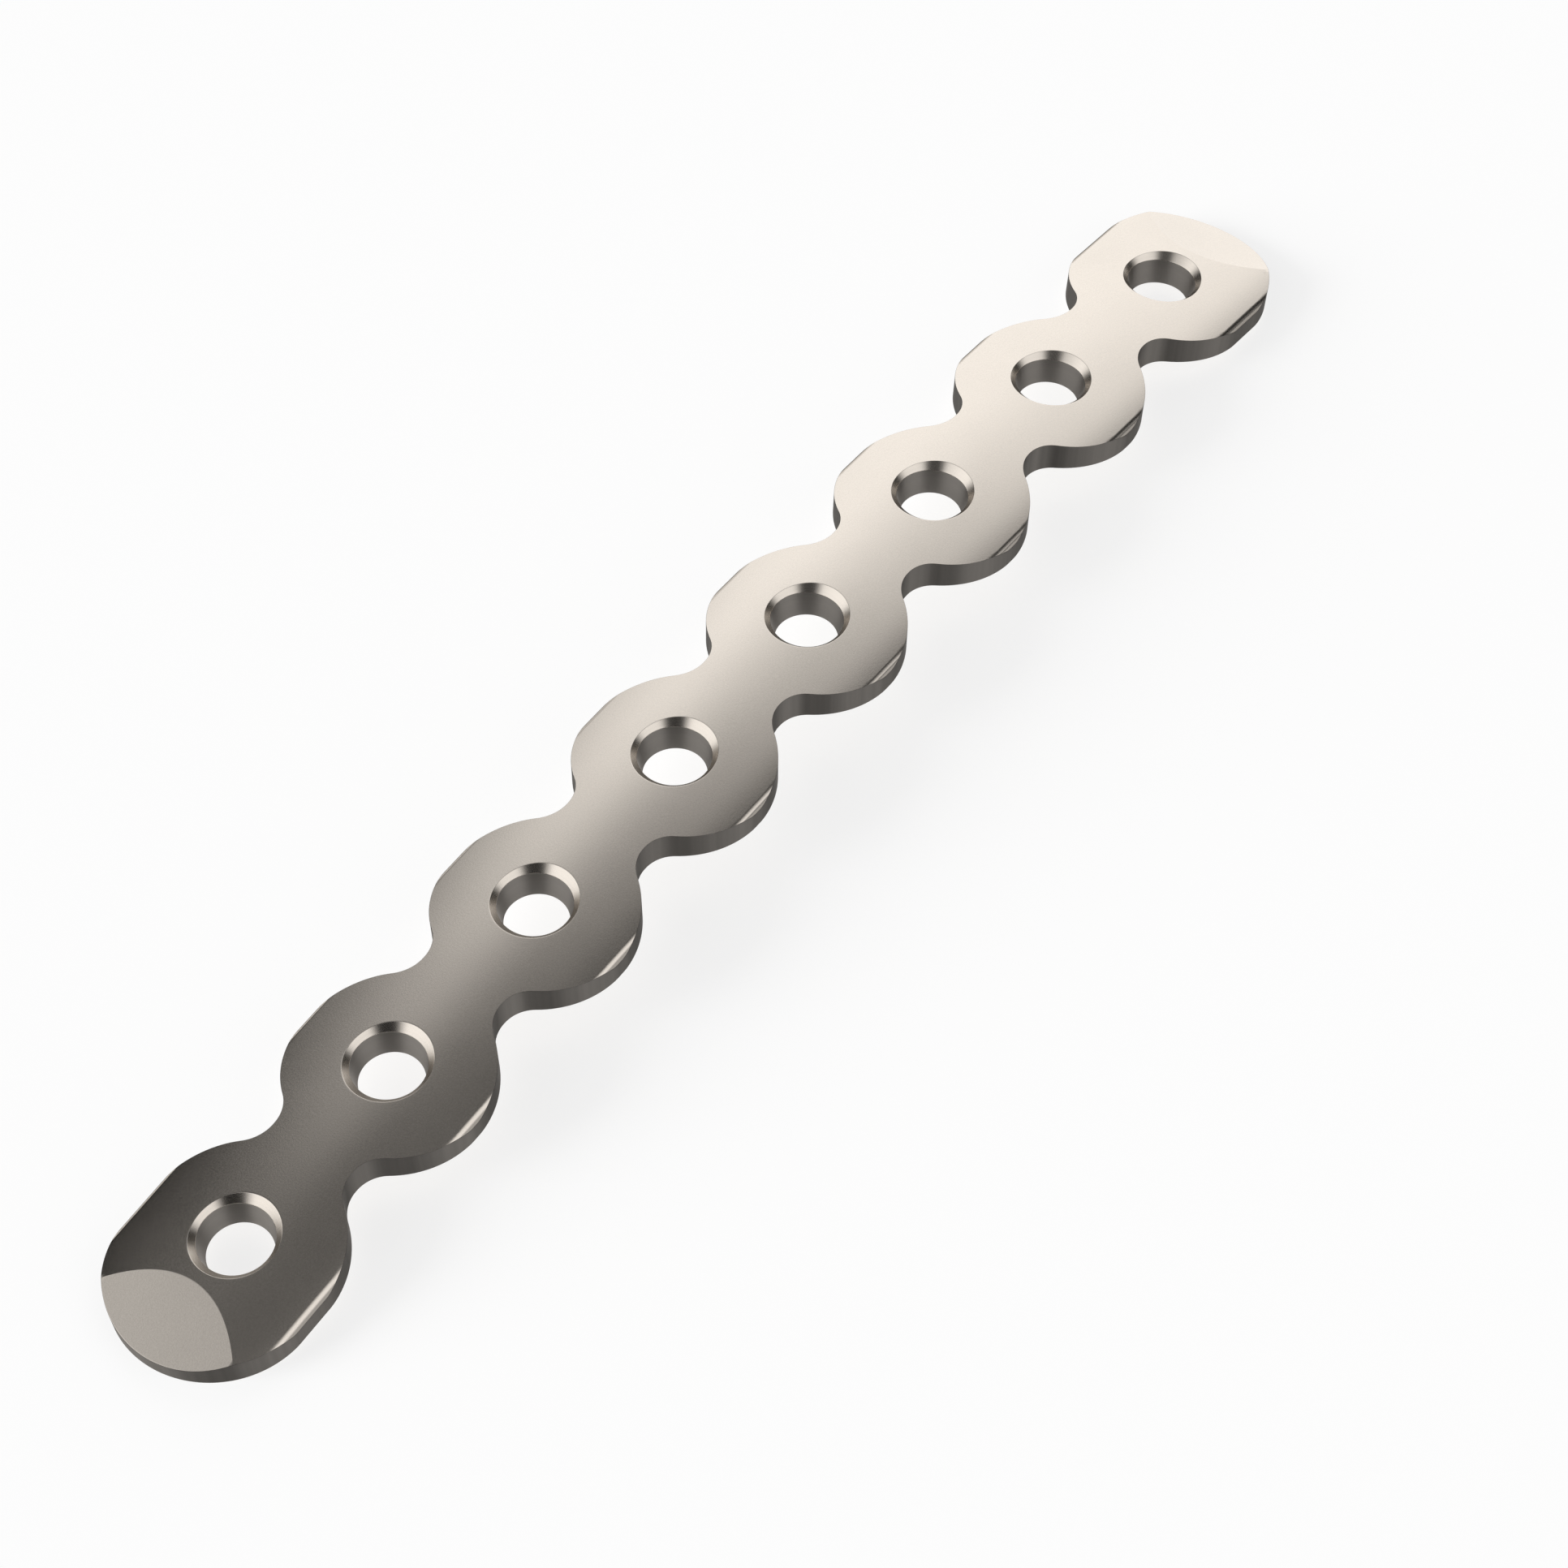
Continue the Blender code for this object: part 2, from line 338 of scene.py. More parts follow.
def choose(condition, when_true, when_false):
    """One field where the condition is 1, and the other where it is 0."""
    node = condition.tree.nodes.new("ShaderNodeMix")
    feed(node.inputs[0], condition)
    feed(node.inputs[2], when_false)
    feed(node.inputs[3], when_true)
    return Field(node.outputs[0])


def title(key):
    """A socket's name, made from a Python name."""
    return key.replace("_", " ").title()


def size_keys():
    """Names of the plate's sizes, apart from the count of its holes."""
    return [key for key in PlateSizes.__annotations__ if key != "hole_count"]


def new_tree(name, inputs, outputs):
    """Geometry Nodes tree with named sockets. Both lists hold pairs of a name and a socket type."""
    tree = bpy.data.node_groups.new(name, "GeometryNodeTree")
    for key, kind in inputs:
        tree.interface.new_socket(title(key), in_out="INPUT", socket_type=kind)
    for key, kind in outputs:
        tree.interface.new_socket(title(key), in_out="OUTPUT", socket_type=kind)
    tree.nodes.new("NodeGroupInput")
    tree.nodes.new("NodeGroupOutput")
    return tree


class Inputs:
    """The named inputs of a tree, each read as a field: sizes.hole_pitch is the socket Hole Pitch."""

    def __init__(self, tree):
        self.tree = tree

    def __getattr__(self, key):
        return Field(self.tree.nodes["Group Input"].outputs[title(key)])


def formula(function):
    """Makes a function of the plate's sizes and some fields into a named node group.

    Each call places the group in the tree it is called for and links the tree's sizes to it.
    """
    name = title(function.__name__)
    own = list(inspect.signature(function).parameters)[1:]

    def group():
        kinds = [(key, "NodeSocketFloat") for key in own + size_keys()]
        tree = new_tree(name, kinds, ())
        sizes = Inputs(tree)
        results = function(sizes, *(getattr(sizes, key) for key in own))
        results = results if isinstance(results, tuple) else (results,)
        for i, result in enumerate(results):
            tree.interface.new_socket(f"Result {i + 1}", in_out="OUTPUT", socket_type="NodeSocketFloat")
            feed(tree.nodes["Group Output"].inputs[i], result)
        return tree

    def call(sizes, *values):
        node = sizes.tree.nodes.new("GeometryNodeGroup")
        node.node_tree = bpy.data.node_groups.get(name) or group()
        node.label = name
        for key, value in zip(own, values):
            feed(node.inputs[title(key)], value)
        for key in size_keys():
            feed(node.inputs[title(key)], getattr(sizes, key))
        results = [Field(socket) for socket in node.outputs]
        return results if len(results) > 1 else results[0]

    return call


@formula
def rounding_seam(sizes):
    """Distance from the middle at which the crown runs into the rounded long edge."""
    edge_centre = sizes.bar_width / 2 - sizes.edge_radius
    return sizes.crown_radius * edge_centre / (sizes.crown_radius - sizes.edge_radius)


@formula
def crown_height(sizes, across):
    """Height of the outer face of the bar, rounded edge included."""
    reach = abs(across)
    edge_centre = sizes.bar_width / 2 - sizes.edge_radius
    edge_drop = sizes.crown_radius - root(
        square(sizes.crown_radius - sizes.edge_radius) - square(edge_centre)
    )
    crown = root(square(sizes.crown_radius) - square(reach)) - sizes.crown_radius
    rounding = root(square(sizes.edge_radius) - square(reach - edge_centre)) - edge_drop
    return choose(reach > rounding_seam(sizes), rounding, crown)


@formula
def hollow_height(sizes, across):
    """Height of the bone face."""
    hollow = root(square(sizes.hollow_radius) - square(across)) - sizes.hollow_radius
    return hollow - sizes.thickness


@formula
def ramp_height(sizes, along):
    """Height of the end ramp's plane over the flat plate, at a distance beyond the last hole's centre."""
    turn = (along - sizes.ramp_offset) / sizes.bend_radius
    fall = sine(sizes.ramp_angle - turn / 2) * sine(turn / 2) / cosine(sizes.ramp_angle - turn)
    return sizes.bend_radius * fall * -2.0


@formula
def ramp_edge(sizes, across):
    """Distance beyond the last hole's centre at which the ramp starts."""
    height = crown_height(sizes, across)
    level = sizes.bend_radius * cosine(sizes.ramp_angle) / (sizes.bend_radius + height)
    return sizes.ramp_offset + sizes.bend_radius * (sizes.ramp_angle - math_node("ARCCOSINE", level))


@formula
def end_face_height(sizes, along, across):
    """Height of the outer face in an end bay."""
    return least(crown_height(sizes, across), ramp_height(sizes, along))


@formula
def inner_quarter(sizes, step, inset):
    """Outline of a quarter bay from the web to the land, offset inwards by the inset."""
    reach = sizes.land_radius + sizes.waist_radius
    side = sizes.waist_width / 2
    along = least(root(square(reach) - square(side + sizes.waist_radius)), sizes.hole_pitch / 2)
    out = root(square(reach) - square(along))
    lean = math_node("ARCTAN2", out, along)

    waist_turn = 1.5 * math.pi - (math.pi / 2 - lean) * ((step - WEB_COLUMNS) / WAIST_COLUMNS)
    waist_x = along + (sizes.waist_radius + inset) * cosine(waist_turn)
    waist_y = out + (sizes.waist_radius + inset) * sine(waist_turn)

    land_step = (step - WEB_COLUMNS - WAIST_COLUMNS) / LAND_COLUMNS
    land_turn = blend(lean, math.pi / 2, land_step)
    land_x = (sizes.land_radius - inset) * cosine(land_turn)
    land_y = (sizes.land_radius - inset) * sine(land_turn)

    on_land = step > WEB_COLUMNS + WAIST_COLUMNS
    on_waist = step > WEB_COLUMNS + 0.5
    x = choose(on_land, land_x, choose(on_waist, waist_x, sizes.hole_pitch / 2))
    y = choose(on_land, land_y, choose(on_waist, waist_y, (side - inset) * step / WEB_COLUMNS))
    return x, least(y, sizes.bar_width / 2 - inset)


@formula
def end_quarter(sizes, step, inset):
    """Outline of an end's quarter from the tip to abreast of the last hole, offset inwards by the inset."""
    tip_columns = QUARTER - STRAIGHT_COLUMNS
    turn = step * (math.pi / 2 / tip_columns)
    tip_x = sizes.end_length + (sizes.land_radius - inset) * cosine(turn)
    tip_y = (sizes.land_radius - inset) * sine(turn)
    on_straight = step > tip_columns
    x = choose(on_straight, sizes.end_length * (QUARTER - step) / STRAIGHT_COLUMNS, tip_x)
    y = choose(on_straight, sizes.land_radius - inset, tip_y)
    return x, least(y, sizes.bar_width / 2 - inset)


def quarter_of(column):
    """Step within a quarter, whether the column lies ahead of the hole, and the sign of its Y."""
    place = math_node("FLOORED_MODULO", column, 4 * QUARTER)
    step = math_node("PINGPONG", place, QUARTER)
    ahead = abs(place - 2 * QUARTER) > QUARTER
    left = (place < 2 * QUARTER) * 2.0 - 1.0
    return step, ahead, left


@formula
def inner_outline(sizes, column, inset):
    """Outline of an inner bay, seen from its hole's centre."""
    step, ahead, left = quarter_of(column)
    x, y = inner_quarter(sizes, step, inset)
    return x * (ahead * 2.0 - 1.0), y * left


@formula
def end_outline(sizes, column, inset):
    """Outline of an end bay, with the plate's end on the +X side."""
    step, ahead, left = quarter_of(column)
    inner_x, inner_y = inner_quarter(sizes, step, inset)
    end_x, end_y = end_quarter(sizes, step, inset)
    return choose(ahead, end_x, -inner_x), choose(ahead, end_y, inner_y) * left


@formula
def bore_width(sizes, height):
    """Radius of the tapered bore at a height."""
    taper = (sizes.bore_radius - sizes.exit_radius) / (sizes.thickness - sizes.sink_depth)
    return sizes.bore_radius + (height + sizes.sink_depth) * taper


@formula
def sink_width(sizes, height):
    """Radius of the countersink at a height."""
    return sizes.bore_radius + (height + sizes.sink_depth) * math_node("TANGENT", sizes.sink_angle)


@formula
def rim_radius(sizes, sideways):
    """Radius at which the countersink meets the crown, in a direction whose share across is sideways."""
    radius = sink_width(sizes, crown_height(sizes, sizes.bore_radius * sideways))
    for _ in range(RIM_TRIES):
        radius = sink_width(sizes, crown_height(sizes, radius * sideways))
    return radius


def rounded(portion, start, corner, end):
    """Curve that leaves the start towards the corner and arrives at the end from it, value by value."""
    return [
        blend(blend(a, b, portion), blend(b, c, portion), portion)
        for a, b, c in zip(start, corner, end)
    ]


def held(portion, rows):
    """Portion of a band whose first and last rows are narrow."""
    inner = (portion * rows - 1.0) * ((1.0 - 2.0 * HELD_SHARE) / (rows - 2)) + HELD_SHARE
    started = choose(portion > 0.5 / rows, inner, 0.0)
    return choose(portion > 1.0 - 0.5 / rows, 1.0, started)


def straight(portion, start, end):
    return [blend(a, b, portion) for a, b in zip(start, end)]


def eased(portion):
    """Portion of a band whose rows lie closer together towards both of its sides."""
    return square(portion) * (3.0 - 2.0 * portion)


def band(tree, finish, columns, rows, place):
    """Grid of quads whose points go to a place in X, Y and height. Point numbers run along its columns."""
    grid = tree.nodes.new("GeometryNodeMeshGrid")
    grid.inputs["Vertices X"].default_value = rows + 1
    grid.inputs["Vertices Y"].default_value = columns + 1
    position = tree.nodes.new("ShaderNodeCombineXYZ")
    for socket, value in zip(position.inputs, place):
        feed(socket, value)
    moved = tree.nodes.new("GeometryNodeSetPosition")
    tree.links.new(grid.outputs["Mesh"], moved.inputs["Geometry"])
    tree.links.new(position.outputs[0], moved.inputs["Position"])
    stored = tree.nodes.new("GeometryNodeStoreNamedAttribute")
    stored.data_type = "INT"
    stored.domain = "FACE"
    stored.inputs["Name"].default_value = "finish"
    feed(stored.inputs["Value"], finish)
    tree.links.new(moved.outputs[0], stored.inputs["Geometry"])
    return stored.outputs["Geometry"]


class Section:
    """Bands of a bay's section, for one set of columns.

    A ring is a pair of radius and height. A band takes the portion of its breadth that a row lies at, and
    gives X, Y and height there.
    """

    def __init__(self, sizes, outline, face_height, ramped, column):
        self.sizes = sizes
        self.face_height = face_height
        self.ramped = ramped
        self.outline = lambda inset: outline(sizes, column, inset)
        x, y = self.outline(0.0)
        reach = root(square(x) + square(y))
        self.ahead = x / reach
        self.sideways = y / reach

    def at(self, ring):
        radius, height = ring
        return radius * self.ahead, radius * self.sideways, height

    def exit_rings(self):
        sizes = self.sizes
        height = hollow_height(sizes, sizes.exit_radius * self.sideways)
        radius = bore_width(sizes, height)
        outer = radius + sizes.hole_break
        upper = height + sizes.hole_break
        return (
            (outer, hollow_height(sizes, outer * self.sideways)),
            (radius, height),
            (bore_width(sizes, upper), upper),
        )

    def throat_rings(self):
        sizes = self.sizes
        lower = -sizes.sink_depth - sizes.hole_break
        upper = sizes.hole_break - sizes.sink_depth
        return (
            (bore_width(sizes, lower), lower),
            (sizes.bore_radius, -sizes.sink_depth),
            (sink_width(sizes, upper), upper),
        )

    def rim_rings(self):
        sizes = self.sizes
        radius = rim_radius(sizes, self.sideways)
        height = crown_height(sizes, radius * self.sideways)
        lower = height - sizes.hole_break
        outer = radius + sizes.hole_break
        return (
            (sink_width(sizes, lower), lower),
            (radius, height),
            (outer, crown_height(sizes, outer * self.sideways)),
        )

    def exit_edge(self, portion):
        return self.at(rounded(portion, *self.exit_rings()))

    def bore(self, portion):
        start = self.exit_rings()[2]
        end = self.throat_rings()[0]
        return self.at(straight(held(portion, HOLE_ROWS), start, end))

    def throat(self, portion):
        return self.at(rounded(portion, *self.throat_rings()))

    def countersink(self, portion):
        start = self.throat_rings()[2]
        end = self.rim_rings()[0]
        return self.at(straight(held(portion, HOLE_ROWS), start, end))

    def rim_edge(self, portion):
        return self.at(rounded(portion, *self.rim_rings()))

    def knot(self):
        """Place on the face that its inner and outer rows share: the ramp's edge, or near the outline."""
        sizes = self.sizes
        start_x, start_y, _ = self.at(self.rim_rings()[2])
        end_x, end_y = self.outline(sizes.edge_break)
        seam = rounding_seam(sizes)
        to_seam = (seam - abs(start_y)) / abs(end_y - start_y)
        portion = choose(abs(end_y) > seam, least(to_seam, INNER_REACH), INNER_REACH)
        x = blend(start_x, end_x, portion)
        y = blend(start_y, end_y, portion)
        if self.ramped:
            ramp_x = ramp_edge(sizes, end_y)
            on_ramp = end_x > ramp_x
            x = choose(on_ramp, ramp_x, x)
            y = choose(on_ramp, end_y, y)
        return x, y

    def on_face(self, x, y):
        return x, y, self.face_height(self.sizes, x, y)

    def inner_face(self, portion):
        """Rows from the rim to the knot."""
        start = self.at(self.rim_rings()[2])[:2]
        return self.on_face(*straight(eased(portion), start, self.knot()))

    def outer_face(self, portion):
        """Rows from the knot to the broken edge."""
        end = self.outline(self.sizes.edge_break)
        return self.on_face(*straight(eased(portion), self.knot(), end))

    def broken_edge(self, portion):
        edge = self.sizes.edge_break
        turn = portion * (math.pi / 2)
        x, y, height = self.on_face(*self.outline(edge * (1.0 - sine(turn))))
        return x, y, height - edge * (1.0 - cosine(turn))

    def side(self, portion):
        edge = self.sizes.edge_break
        x, y, top = self.on_face(*self.outline(0.0))
        return x, y, blend(top - edge, hollow_height(self.sizes, y) + edge, held(portion, SIDE_ROWS))

    def lower_edge(self, portion):
        edge = self.sizes.edge_break
        turn = portion * (math.pi / 2)
        x, y = self.outline(edge * (1.0 - cosine(turn)))
        return x, y, hollow_height(self.sizes, y) + edge * (1.0 - sine(turn))

    def underside(self, portion):
        start = self.outline(self.sizes.edge_break)
        end = self.at(self.exit_rings()[0])[:2]
        x, y = straight(held(portion, UNDER_ROWS), start, end)
        return x, y, hollow_height(self.sizes, y)


def inner_face_height(sizes, along, across):
    return crown_height(sizes, across)


def rim_finish(sizes):
    """Finish of the face's outer rows: rounded edge past the crown, and face elsewhere."""
    tree = sizes.tree
    position = tree.nodes.new("GeometryNodeInputPosition")
    parts = tree.nodes.new("ShaderNodeSeparateXYZ")
    tree.links.new(position.outputs[0], parts.inputs[0])
    past_seam = abs(Field(parts.outputs["Y"])) > rounding_seam(sizes)
    return blend(FACE, EDGE, past_seam)


def bay_tree(name, outline, face_height, ramped, side_stretches):
    """Tree of one bay. side_stretches lists the first column and the count of each open side."""
    inputs = [(key, "NodeSocketFloat") for key in size_keys()]
    tree = new_tree(name, inputs, [("mesh", "NodeSocketGeometry")])
    sizes = Inputs(tree)
    around = (0, 4 * QUARTER)
    bands = [
        (BORE, around, BREAK_ROWS, "exit_edge"),
        (BORE, around, HOLE_ROWS, "bore"),
        (SINK, around, BREAK_ROWS, "throat"),
        (SINK, around, HOLE_ROWS, "countersink"),
        (SINK, around, BREAK_ROWS, "rim_edge"),
        (FACE, around, FACE_ROWS, "inner_face"),
        (rim_finish(sizes), around, RIM_ROWS, "outer_face"),
        (FACE, around, UNDER_ROWS, "underside"),
    ]
    for stretch in side_stretches:
        bands.append((SIDE, stretch, BREAK_ROWS, "broken_edge"))
        bands.append((SIDE, stretch, SIDE_ROWS, "side"))
        bands.append((SIDE, stretch, BREAK_ROWS, "lower_edge"))
    joined = tree.nodes.new("GeometryNodeJoinGeometry")
    for finish, (first_column, columns), rows, band_name in bands:
        index = Field(tree.nodes.new("GeometryNodeInputIndex").outputs[0])
        row = math_node("FLOOR", index / (columns + 1))
        column = index - row * (columns + 1) + first_column
        section = Section(sizes, outline, face_height, ramped, column)
        place = getattr(section, band_name)(row / rows)
        tree.links.new(band(tree, finish, columns, rows, place), joined.inputs[0])
    tree.links.new(joined.outputs[0], tree.nodes["Group Output"].inputs[0])
    return tree


def inner_bay_tree():
    open_columns = 2 * (QUARTER - WEB_COLUMNS)
    stretches = [(WEB_COLUMNS, open_columns), (2 * QUARTER + WEB_COLUMNS, open_columns)]
    return bay_tree("Inner bay", inner_outline, inner_face_height, False, stretches)


def end_bay_tree():
    stretches = [(2 * QUARTER + WEB_COLUMNS, 4 * QUARTER - 2 * WEB_COLUMNS)]
    return bay_tree("End bay", end_outline, end_face_height, True, stretches)


def placed(sizes, group, points_node, turn):
    """Copies of a bay, one on each point."""
    tree = sizes.tree
    bay = tree.nodes.new("GeometryNodeGroup")
    bay.node_tree = group
    for key in size_keys():
        feed(bay.inputs[title(key)], getattr(sizes, key))
    copies = tree.nodes.new("GeometryNodeInstanceOnPoints")
    tree.links.new(points_node.outputs[0], copies.inputs["Points"])
    tree.links.new(bay.outputs[0], copies.inputs["Instance"])
    copies.inputs["Rotation"].default_value = (0.0, 0.0, turn)
    return copies.outputs[0]


def row_of_points(sizes, count, first_x, step):
    """Points along X, for holes of the row."""
    tree = sizes.tree
    line = tree.nodes.new("GeometryNodeMeshLine")
    feed(line.inputs["Count"], count)
    for name, x in (("Start Location", first_x), ("Offset", step)):
        place = tree.nodes.new("ShaderNodeCombineXYZ")
        feed(place.inputs["X"], x)
        tree.links.new(place.outputs[0], line.inputs[name])
    return line


def bent(sizes, geometry):
    """Bends the flat row about Y and stands its two ends on the floor.

    Each point keeps its place in the flat row as the attribute flat_place, for marks that follow the plate.
    """
    tree = sizes.tree
    position = tree.nodes.new("GeometryNodeInputPosition")
    parts = tree.nodes.new("ShaderNodeSeparateXYZ")
    tree.links.new(position.outputs[0], parts.inputs[0])
    along, across, height = (Field(socket) for socket in parts.outputs)
    turn = along / sizes.bend_radius
    half_length = sizes.hole_pitch * (sizes.hole_count - 1) / 2 + sizes.end_length + sizes.land_radius
    end_turn = half_length / sizes.bend_radius
    standing = sizes.bend_radius - (sizes.bend_radius - sizes.thickness) * cosine(end_turn)
    place = tree.nodes.new("ShaderNodeCombineXYZ")
    feed(place.inputs["X"], (sizes.bend_radius + height) * sine(turn))
    feed(place.inputs["Y"], across)
    feed(
        place.inputs["Z"],
        height * cosine(turn) - 2.0 * sizes.bend_radius * square(sine(turn / 2)) + standing,
    )
    stored = tree.nodes.new("GeometryNodeStoreNamedAttribute")
    stored.data_type = "FLOAT_VECTOR"
    stored.inputs["Name"].default_value = "flat_place"
    tree.links.new(geometry, stored.inputs["Geometry"])
    tree.links.new(position.outputs[0], stored.inputs["Value"])
    moved = tree.nodes.new("GeometryNodeSetPosition")
    tree.links.new(stored.outputs["Geometry"], moved.inputs["Geometry"])
    tree.links.new(place.outputs[0], moved.inputs["Position"])
    return moved.outputs[0]


def finished(sizes, geometry, material_keys):
    """Gives each band the material of its finish."""
    tree = sizes.tree
    stored = tree.nodes.new("GeometryNodeInputNamedAttribute")
    stored.data_type = "INT"
    stored.inputs["Name"].default_value = "finish"
    for number, key in enumerate(material_keys):
        coat = tree.nodes.new("GeometryNodeSetMaterial")
        same = math_node("COMPARE", Field(stored.outputs["Attribute"]), number, 0.5)
        tree.links.new(geometry, coat.inputs["Geometry"])
        feed(coat.inputs["Selection"], same)
        feed(coat.inputs["Material"], getattr(sizes, key))
        geometry = coat.outputs[0]
    return geometry


def plate_tree():
    """Tree of the whole plate, from its named sizes and materials."""
    finishes = ("face", "side", "sink", "bore", "edge")
    material_keys = [f"{name}_material" for name in finishes]
    inputs = [("hole_count", "NodeSocketInt")]
    inputs += [(key, "NodeSocketFloat") for key in size_keys()]
    inputs += [(key, "NodeSocketMaterial") for key in material_keys]
    tree = new_tree("Bone plate", inputs, [("mesh", "NodeSocketGeometry")])
    sizes = Inputs(tree)
    half_row = sizes.hole_pitch * (sizes.hole_count - 1) / 2
    inner_points = row_of_points(sizes, sizes.hole_count - 2, sizes.hole_pitch - half_row, sizes.hole_pitch)
    joined = tree.nodes.new("GeometryNodeJoinGeometry")
    end_tree = end_bay_tree()
    for copies in (
        placed(sizes, inner_bay_tree(), inner_points, 0.0),
        placed(sizes, end_tree, row_of_points(sizes, 1, half_row, 0.0), 0.0),
        placed(sizes, end_tree, row_of_points(sizes, 1, -half_row, 0.0), math.pi),
    ):
        tree.links.new(copies, joined.inputs[0])
    real = tree.nodes.new("GeometryNodeRealizeInstances")
    merged = tree.nodes.new("GeometryNodeMergeByDistance")
    merged.inputs["Distance"].default_value = MERGE_DISTANCE
    smooth = tree.nodes.new("GeometryNodeSetShadeSmooth")
    tree.links.new(joined.outputs[0], real.inputs[0])
    tree.links.new(real.outputs[0], merged.inputs["Geometry"])
    tree.links.new(bent(sizes, merged.outputs[0]), smooth.inputs["Geometry"])
    end = finished(sizes, smooth.outputs[0], material_keys)
    tree.links.new(end, tree.nodes["Group Output"].inputs[0])
    return tree


def grown(name, tree, values):
    """Object whose plain mesh is what a Geometry Nodes tree makes of the named values."""
    blank = bpy.data.meshes.new(name)
    obj = bpy.data.objects.new(name, blank)
    bpy.context.scene.collection.objects.link(obj)
    modifier = obj.modifiers.new(tree.name, "NODES")
    modifier.node_group = tree
    for item in tree.interface.items_tree:
        if item.in_out == "INPUT" and item.name in values:
            modifier[item.identifier] = values[item.name]
    depsgraph = bpy.context.evaluated_depsgraph_get()
    mesh = bpy.data.meshes.new_from_object(obj.evaluated_get(depsgraph))
    obj.modifiers.remove(modifier)
    obj.data = mesh
    bpy.data.meshes.remove(blank)
    mesh.name = name
    return obj


def shader_group(name, inputs, outputs):
    """Shader node group with named sockets: pairs of a name and a socket type, and a default if a number."""
    tree = bpy.data.node_groups.new(name, "ShaderNodeTree")
    for key, kind, default in inputs:
        socket = tree.interface.new_socket(title(key), in_out="INPUT", socket_type=kind)
        if default is not None:
            socket.default_value = default
    for key in outputs:
        tree.interface.new_socket(title(key), in_out="OUTPUT", socket_type="NodeSocketFloat")
    tree.nodes.new("NodeGroupInput")
    tree.nodes.new("NodeGroupOutput")
    return tree


def noise(place, spot_size, detail):
    """Noise between about 0 and 1, in spots of a size in metres. Detail adds finer layers."""
    tree = place.id_data
    node = tree.nodes.new("ShaderNodeTexNoise")
    tree.links.new(place, node.inputs["Vector"])
    feed(node.inputs["Scale"], 1.0 / spot_size)
    node.inputs["Detail"].default_value = detail
    node.inputs["Roughness"].default_value = NOISE_ROUGHNESS
    return Field(node.outputs[0])


def blasted_grain():
    """Fine matt speckle of a blasted surface, with a slow drift of its tone over the plate."""
    name = "Blasted grain"
    if name in bpy.data.node_groups:
        return bpy.data.node_groups[name]
    inputs = [
        ("place", "NodeSocketVector", None),
        ("grain_size", "NodeSocketFloat", 0.00006),
        ("drift_size", "NodeSocketFloat", 0.006),
        ("drift_share", "NodeSocketFloat", 0.4),
    ]
    tree = shader_group(name, inputs, ("speckle", "height"))
    given = Inputs(tree)
    grain = noise(given.place.socket, given.grain_size, detail=2.0)
    drift = noise(given.place.socket, given.drift_size, detail=3.0)
    speckle = blend(grain, drift, given.drift_share) - NOISE_MEAN
    feed(tree.nodes["Group Output"].inputs["Speckle"], speckle)
    feed(tree.nodes["Group Output"].inputs["Height"], grain)
    return tree


def tool_marks():
    """Fine marks of a cutter, on a slower swell of its tone.

    Across Marks is 1 on the axes across the marks and 0 on the axes along them.
    """
    name = "Tool marks"
    if name in bpy.data.node_groups:
        return bpy.data.node_groups[name]
    inputs = [
        ("place", "NodeSocketVector", None),
        ("across_marks", "NodeSocketVector", (1.0, 1.0, 1.0)),
        ("spacing", "NodeSocketFloat", 0.0002),
        ("swell_spacings", "NodeSocketFloat", 5.0),
        ("swell_share", "NodeSocketFloat", 0.6),
    ]
    tree = shader_group(name, inputs, ("tone", "height"))
    given = Inputs(tree)
    flattened = tree.nodes.new("ShaderNodeVectorMath")
    flattened.operation = "MULTIPLY"
    tree.links.new(given.place.socket, flattened.inputs[0])
    tree.links.new(given.across_marks.socket, flattened.inputs[1])
    swell = noise(flattened.outputs[0], given.spacing * given.swell_spacings, detail=1.0)
    marks = noise(flattened.outputs[0], given.spacing, detail=2.0)
    tone = blend(marks, swell, given.swell_share) - NOISE_MEAN
    feed(tree.nodes["Group Output"].inputs["Tone"], tone)
    feed(tree.nodes["Group Output"].inputs["Height"], marks)
    return tree


def placed_group(tree, group, values):
    """Places a group in a material, feeds it the place on the flat plate and sets its other values."""
    attribute = tree.nodes.new("ShaderNodeAttribute")
    attribute.attribute_name = "flat_place"
    node = tree.nodes.new("ShaderNodeGroup")
    node.node_tree = group
    tree.links.new(attribute.outputs["Vector"], node.inputs["Place"])
    for key, value in values.items():
        node.inputs[title(key)].default_value = value
    return {socket.name: Field(socket) for socket in node.outputs}


def titanium(name, colour, roughness):
    """Plain metal, to which grain and marks are added."""
    material = bpy.data.materials.new(name)
    material.use_nodes = True
    shader = material.node_tree.nodes["Principled BSDF"]
    shader.inputs["Metallic"].default_value = 1.0
    shader.inputs["Roughness"].default_value = roughness
    shader.inputs["Base Color"].default_value = (*colour, 1.0)
    return material


def tint_grazing(material, tint):
    """Tints what the metal shows edge on."""
    shader = material.node_tree.nodes["Principled BSDF"]
    shader.inputs["Specular Tint"].default_value = (*tint, 1.0)


def shade(material, level, height, relief):
    """Varies the metal's colour by a level about 1 and gives it a relief of a height between 0 and 1."""
    tree = material.node_tree
    shader = tree.nodes["Principled BSDF"]
    toned = tree.nodes.new("ShaderNodeVectorMath")
    toned.operation = "SCALE"
    toned.inputs[0].default_value = shader.inputs["Base Color"].default_value[:3]
    feed(toned.inputs["Scale"], level)
    tree.links.new(toned.outputs[0], shader.inputs["Base Color"])
    bump = tree.nodes.new("ShaderNodeBump")
    bump.inputs["Strength"].default_value = relief
    bump.inputs["Distance"].default_value = RELIEF_HEIGHT
    feed(bump.inputs["Height"], height)
    tree.links.new(bump.outputs[0], shader.inputs["Normal"])


